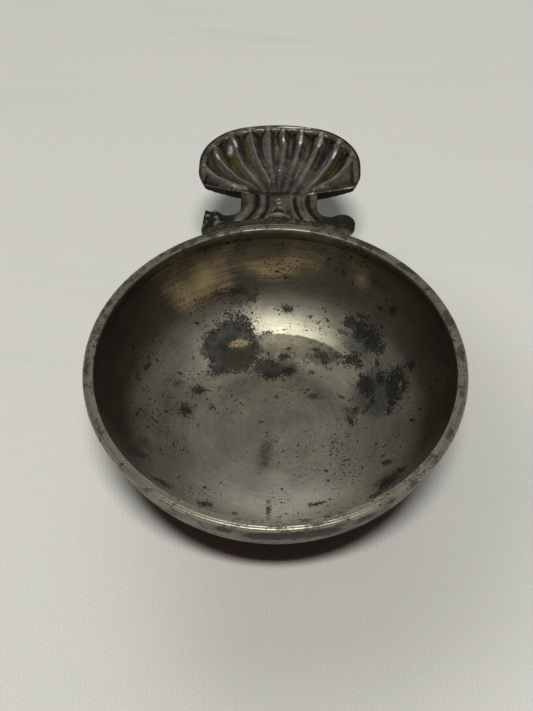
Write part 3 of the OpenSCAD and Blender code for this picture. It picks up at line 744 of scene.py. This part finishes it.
def turnedPewter():
    c = pewter
    mat, p = newMaterial("turnedPewter")
    place = p.place()
    x, y, z = p.axes(place)
    r = (x * x + y * y) ** 0.5

    def turnedNoise(around, across, detail, rough):
        # drawn out along the turning
        at = p.vector(x / r * around, y / r * around, r * across)
        return p.noise(at, 1.0, detail, rough, w=z * across)

    # parts of the section
    outward = (r - bowl["curveX"] * mm).atLeast(0.0)
    down = z - bowl["curveZ"] * mm
    arcR = (outward * outward + down * down) ** 0.5
    rim = z.between(*zones["rimZ"]) * r.between(*zones["rimR"])
    inside = arcR.between((bowl["insideR"] + 1.1) * mm, (bowl["insideR"] + 0.8) * mm)
    inside = inside * (1 - rim)
    # painted shade: the upper inside wall, all but the front, is darker, standing in for the dark
    # room it reflects
    wall = z.between(*zones["shadedWallZ"]) * y.between(*zones["shadedWallY"])
    # noises and turning lines
    mottle, grain, speck = [p.noise(place, *grains[k]) for k in ("mottle", "grain", "speck")]
    fine, finer, broad = [turnedNoise(*grains[k]) for k in ("fine", "finer", "broad")]
    lines = fine * 0.45 + finer * 0.45 + broad * 0.1
    # ground colour, with painted shade on the upper wall and a painted reflection towards the
    # front
    colour = p.mix(wall * inside, c["floor"], c["wall"])
    # painted reflection: the inside towards the front is lighter, standing in for the bright room
    # it reflects
    paintedReflectionAcross = (x - 0.004).maths("ABSOLUTE").between(*zones["paintedReflectionX"], (0.45, 1.0))
    colour = p.mix(y.between(*zones["paintedReflectionY"]) * paintedReflectionAcross * inside, colour, c["front"])
    # gilt areas of the back wall: partly tarnish, partly a painted warm reflection
    gold = p.value("gold") + (mottle - 0.5) * 1.3 + (lines - 0.5) * 1.6
    colour = p.mix(gold.between(-0.15, 1.3) * inside * cover["gold"], colour, c["gold"])
    dull = p.value("dull") * 1.5 + (grain - 0.5) * 1.5 + (mottle - 0.5) * 0.7 - 0.25
    thin = (mottle * 1.6 + grain * 0.8 - 0.65).between(0.1, 0.8, (0.6, 1.0))
    dull = dull.between(0.0, 0.7) * thin * inside
    colour = p.mix(dull * cover["dull"], colour, c["dull"])
    colour = p.mix((1 - inside) * (1 - rim), colour, c["outside"])
    rimColour = p.mix(y.between(*zones["rimBackY"]), c["rim"], c["rimBack"])
    rimColour = p.mix(mottle.between(0.45, 0.62) * cover["rimMottle"], rimColour, c["outside"])
    colour = p.mix(rim, colour, rimColour)
    shade = lines.between(0.3, 0.7, (0.76, 1.2)) * mottle.between(0.3, 0.7, (0.84, 1.14))
    colour = p.shaded(colour, shade * speck.between(0.3, 0.7, (0.93, 1.07)))
    # dirt
    ragged = (grain - 0.5) * 1.7 + (speck - 0.5) * 2.2
    cloud = (p.value("cloud") * 0.8 + ragged * 0.8).between(0.0, 0.7) * inside
    colour = p.mix(cloud * cover["cloud"], colour, c["cloud"])
    dark = (p.value("stain") + ragged + 0.12).between(0.0, 0.3) * inside
    brown = (p.value("brown") + ragged * 0.6).between(0.0, 0.6)
    patchy = p.noise(place, *grains["patchy"]).between(0.42, 0.66)
    patchy = patchy * x.between(*zones["patchyX"], (0.35, 1.0))
    stainColour = p.mix(patchy * 0.65, c["stain"], c["cloud"])
    stainColour = p.mix(brown * cover["brown"], stainColour, c["brown"])
    colour = p.mix(dark * cover["stain"], colour, stainColour)
    tan = (p.value("tan") + ragged * 0.7).between(0.0, 0.3) * inside
    colour = p.mix(tan * cover["tan"], colour, c["tan"])
    # pits and small marks everywhere
    crowd = p.noise(place, *grains["crowd"]).between(0.4, 0.66)
    crowd = crowd + r.between(*zones["crowdR"]) * 0.35 - 0.15
    small = specks(p, place, 1250, crowd, 0.715)
    large = specks(p, place, 520, crowd, 0.735)
    smear = turnedNoise(*grains["smear"])
    blotch = p.noise(place, *grains["blotch"]) * 0.6 + grain * 0.25 + smear * 0.4
    blotch = (blotch + p.value("outer") * 0.3).between(0.60, 0.74) * (1 - inside)
    marks = small.atLeast(large).atLeast(blotch * cover["blotch"])
    colour = p.mix(marks * cover["marks"], colour, c["stain"])
    # near the handle the rim's outer part is dark with old flux
    flux = (y + grain * 0.006).between(*zones["fluxY"]) * r.between(*zones["fluxR"])
    colour = p.mix(flux * cover["flux"], colour, c["flux"])
    height = lines * 0.000011 - (dark * 0.5 + marks).atMost(1.0) * 0.00007 + grain * 0.000012
    dirty = dark.atLeast(marks).atLeast(dull * 0.5)
    rough = dirty.between(0.0, 1.0, (c["roughness"], c["stainRoughness"]), "LINEAR")
    rough = rough + (lines - 0.5) * 0.12 - rim * 0.06
    p.finish(colour, 1 - dark * 0.2, rough, p.bump(height))
    return mat


cast = {"crest": (0.196, 0.184, 0.150), "face": (0.128, 0.121, 0.099),
        "hollow": (0.028, 0.026, 0.021), "pit": (0.02, 0.02, 0.018),
        "paintedGlint": (0.95, 0.93, 0.84), "olive": (0.13, 0.115, 0.008),
        "rust": (0.15, 0.06, 0.018), "roughness": 0.4}


def castPewter():
    c = cast
    mat, p = newMaterial("castPewter")
    place = p.place()
    y = p.axes(place)[1]
    hollow = p.value("hollow")
    mottle, grain, dirty = [p.noise(place, *grains[k])
                            for k in ("castMottle", "castGrain", "castDirt")]
    # how dark: dirt and wear, with the painted shade and highlights carried in from hollow
    worn = hollow * 1.1 + (mottle - 0.5) * 1.1 + (grain - 0.5) * 0.6 + (dirty - 0.5) * 0.9
    colour = p.mix(worn.between(-0.05, 0.55), c["crest"], c["face"])
    colour = p.mix(worn.between(0.35, 1.0), colour, c["hollow"])
    # painted highlight: bright glints on the ridges' tops
    paintedGlint = (p.value("paintedGlint") * 2.0 + (grain - 0.5) * 1.2).between(0.0, 0.7)
    colour = p.mix(paintedGlint * cover["paintedGlint"], colour, c["paintedGlint"])
    for name in ("olive", "rust"):
        mark = (p.value(name) + (grain - 0.5) * 1.6).between(0.0, 0.3)
        colour = p.mix(mark * cover[name], colour, c[name])
    pit = specks(p, place, 700, hollow, 0.70)
    colour = p.mix(pit * cover["pit"], colour, c["pit"])
    height = mottle * 0.0001 + grain * 0.00004 - pit * 0.0001
    rough = worn.between(0.0, 1.0, (c["roughness"] - 0.04, c["roughness"] + 0.16))
    rough = rough + y.between(0.084, 0.077) * 0.2 - paintedGlint * 0.12     # the neck is duller
    p.finish(colour, 1.0, rough, p.bump(height))
    return mat


solder = {"dark": (0.035, 0.034, 0.026), "pale": (0.15, 0.145, 0.11), "paleSide": (-0.02, 0.02),
          "roughness": 0.45, "lumps": (0.4, 0.0004)}


def solderFinish():
    mat, p = newMaterial("solderMetal")
    place = p.place()
    x = p.axes(place)[0]
    grain = p.noise(place, *grains["solder"])
    pale = grain.between(0.35, 0.7) * x.between(*solder["paleSide"], (0.5, 1.0))
    colour = p.mix(pale, solder["dark"], solder["pale"])
    p.finish(colour, 1.0, solder["roughness"], p.bump(grain, *solder["lumps"]))
    return mat


def dress(thing, mat):
    thing.data.materials.clear()
    thing.data.materials.append(mat)


dress(bowlBody, turnedPewter())
dress(handleBody, castPewter())
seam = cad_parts["solder_seam"]
for slot in seam.material_slots:
    slot.material = solderFinish()
print("finishes made")


# the pale cloth; its shade keys paint the bowl's soft shadow on it, and its other shadow keys
# paint a dark reddish shadow just under the bowl's front
cloth = {"size": 3.0, "colour": (0.662, 0.669, 0.672), "under": (0.21, 0.105, 0.085),
         "underR": (0.0555, 0.0505), "underY": (-0.015, -0.035), "underCover": 0.75,
         "shade": 0.22, "paintedShadeR": (0.118, 0.062), "paintedShadeX": (-0.06, 0.0),
         "paintedShadeMiddle": (0.008, -0.016), "thread": 1500, "weave": (0.91, 1.08),
         "fold": 12.0, "foldDepth": 0.02, "threadDepth": 0.00004}


def makeFloor():
    c = cloth
    clearSelection()
    bpy.ops.mesh.primitive_plane_add(size=c["size"], location=(0, 0, 0))
    floor = bpy.context.object
    floor.name = "floorCloth"
    mat, p = newMaterial("paleCloth")
    place = p.place()
    x, y, z = p.axes(place)
    twill = ((x + y * 0.6) * (c["thread"] * 2)).maths("SINE")
    twill = twill * ((x * 0.7 - y) * c["thread"]).maths("SINE")
    weave = twill * 0.12 + p.noise(place, c["thread"], 2, 0.6)
    folds = p.noise(p.vector(x * 0.45 + y * 0.25, y, z), c["fold"], 3, 0.4, warp=0.4)
    # painted shade: the cloth is a little darker round the bowl, most towards the front and the
    # right, standing in for the bowl's soft shadow
    dx, dy = x - c["paintedShadeMiddle"][0], y - c["paintedShadeMiddle"][1]
    near = ((dx * dx + dy * dy) ** 0.5).between(*c["paintedShadeR"]) * x.between(*c["paintedShadeX"])
    shade = weave.between(0.0, 1.0, c["weave"]) * (1 - near * c["shade"])
    colour = p.shaded(c["colour"], shade)
    # painted shadow: a dark reddish crescent on the cloth just under the front of the bowl
    under = ((x * x + y * y) ** 0.5).between(*c["underR"]) * y.between(*c["underY"])
    colour = p.mix(under * c["underCover"], colour, c["under"])
    height = folds * c["foldDepth"] + weave * c["threadDepth"]
    p.finish(colour, 0.0, 0.9, p.bump(height), specular=0.1)
    dress(floor, mat)


makeFloor()

lighting = {"base": 0.03, "tint": (1.0, 0.99, 0.93),
            "backdrop": (0.8, 0.8, 0.78), "backdropTop": (0.34, 0.5),
            "keyHeight": 1.9, "keyTilt": 15.4, "keyAside": 1.0, "keySize": (0.62, 0.15),
            "keyLevel": 0.79, "keyColour": (1.0, 0.97, 0.88)}

# soft brighter parts of the room: azimuth from +Y, elevation, half width in degrees,
# and how much is added
roomParts = [(3, 12, 34, 1.1), (0, 28, 26, 0.85), (0, 58, 34, 0.16), (75, 40, 50, 0.10),
             (-75, 45, 50, 0.06), (180, 80, 30, 0.10)]


def direction(azimuth, elevation):
    a, e = math.radians(azimuth), math.radians(elevation)
    return Vector((math.sin(a) * math.cos(e), math.cos(a) * math.cos(e), math.sin(e)))


def makeWorld():
    world = bpy.data.worlds.new("softRoom")
    world.use_nodes = True
    bpy.context.scene.world = world
    p = Paint(world.node_tree)
    looking = p.node("ShaderNodeTexCoord", out="Generated")
    level = lighting["base"]
    for azimuth, elevation, width, amount in roomParts:
        nearness = p.node("ShaderNodeVectorMath", {"operation": "DOT_PRODUCT"},
                          {0: looking, 1: tuple(direction(azimuth, elevation))}, out=1)
        level = nearness.between(math.cos(math.radians(width)), 1.0, (0.0, amount)) + level
    room = p.node("ShaderNodeBackground", {}, {"Color": lighting["tint"], "Strength": level})
    # the pale backdrop stands all round and gives way to the room high up; the camera,
    # metal and glass see it
    above = p.axes(looking)[2].between(*lighting["backdropTop"])
    plain = p.node("ShaderNodeBackground", {}, {"Color": lighting["backdrop"],
                                                "Strength": 1 - above + level * above})
    rays = [p.node("ShaderNodeLightPath", out="Is %s Ray" % kind)
            for kind in ("Camera", "Glossy", "Transmission")]
    seen = rays[0].atLeast(rays[1]).atLeast(rays[2])
    both = p.node("ShaderNodeMixShader", {}, {0: seen, 1: room, 2: plain})
    p.node("ShaderNodeOutputWorld", {}, {"Surface": both})


def makeKeyLight():
    k = lighting
    lamp = bpy.data.lights.new("keyLight", "AREA")
    lamp.shape = "ELLIPSE"
    lamp.size, lamp.size_y = k["keySize"]
    lamp.color = k["keyColour"]
    away = direction(180 - k["keyAside"], 90 - k["keyTilt"]) * k["keyHeight"]
    # power that lights a white floor to keyLevel
    lit = math.pi ** 2 * k["keyHeight"] ** 2 / math.cos(math.radians(k["keyTilt"]))
    lamp.energy = k["keyLevel"] * lit
    thing = bpy.data.objects.new("keyLight", lamp)
    bpy.context.scene.collection.objects.link(thing)
    thing.location = away
    thing.rotation_euler = (-away).to_track_quat("-Z", "Y").to_euler()
    thing.visible_camera = False


makeWorld()
makeKeyLight()
print("stage lit")

bpy.context.scene.view_settings.view_transform = "Standard"
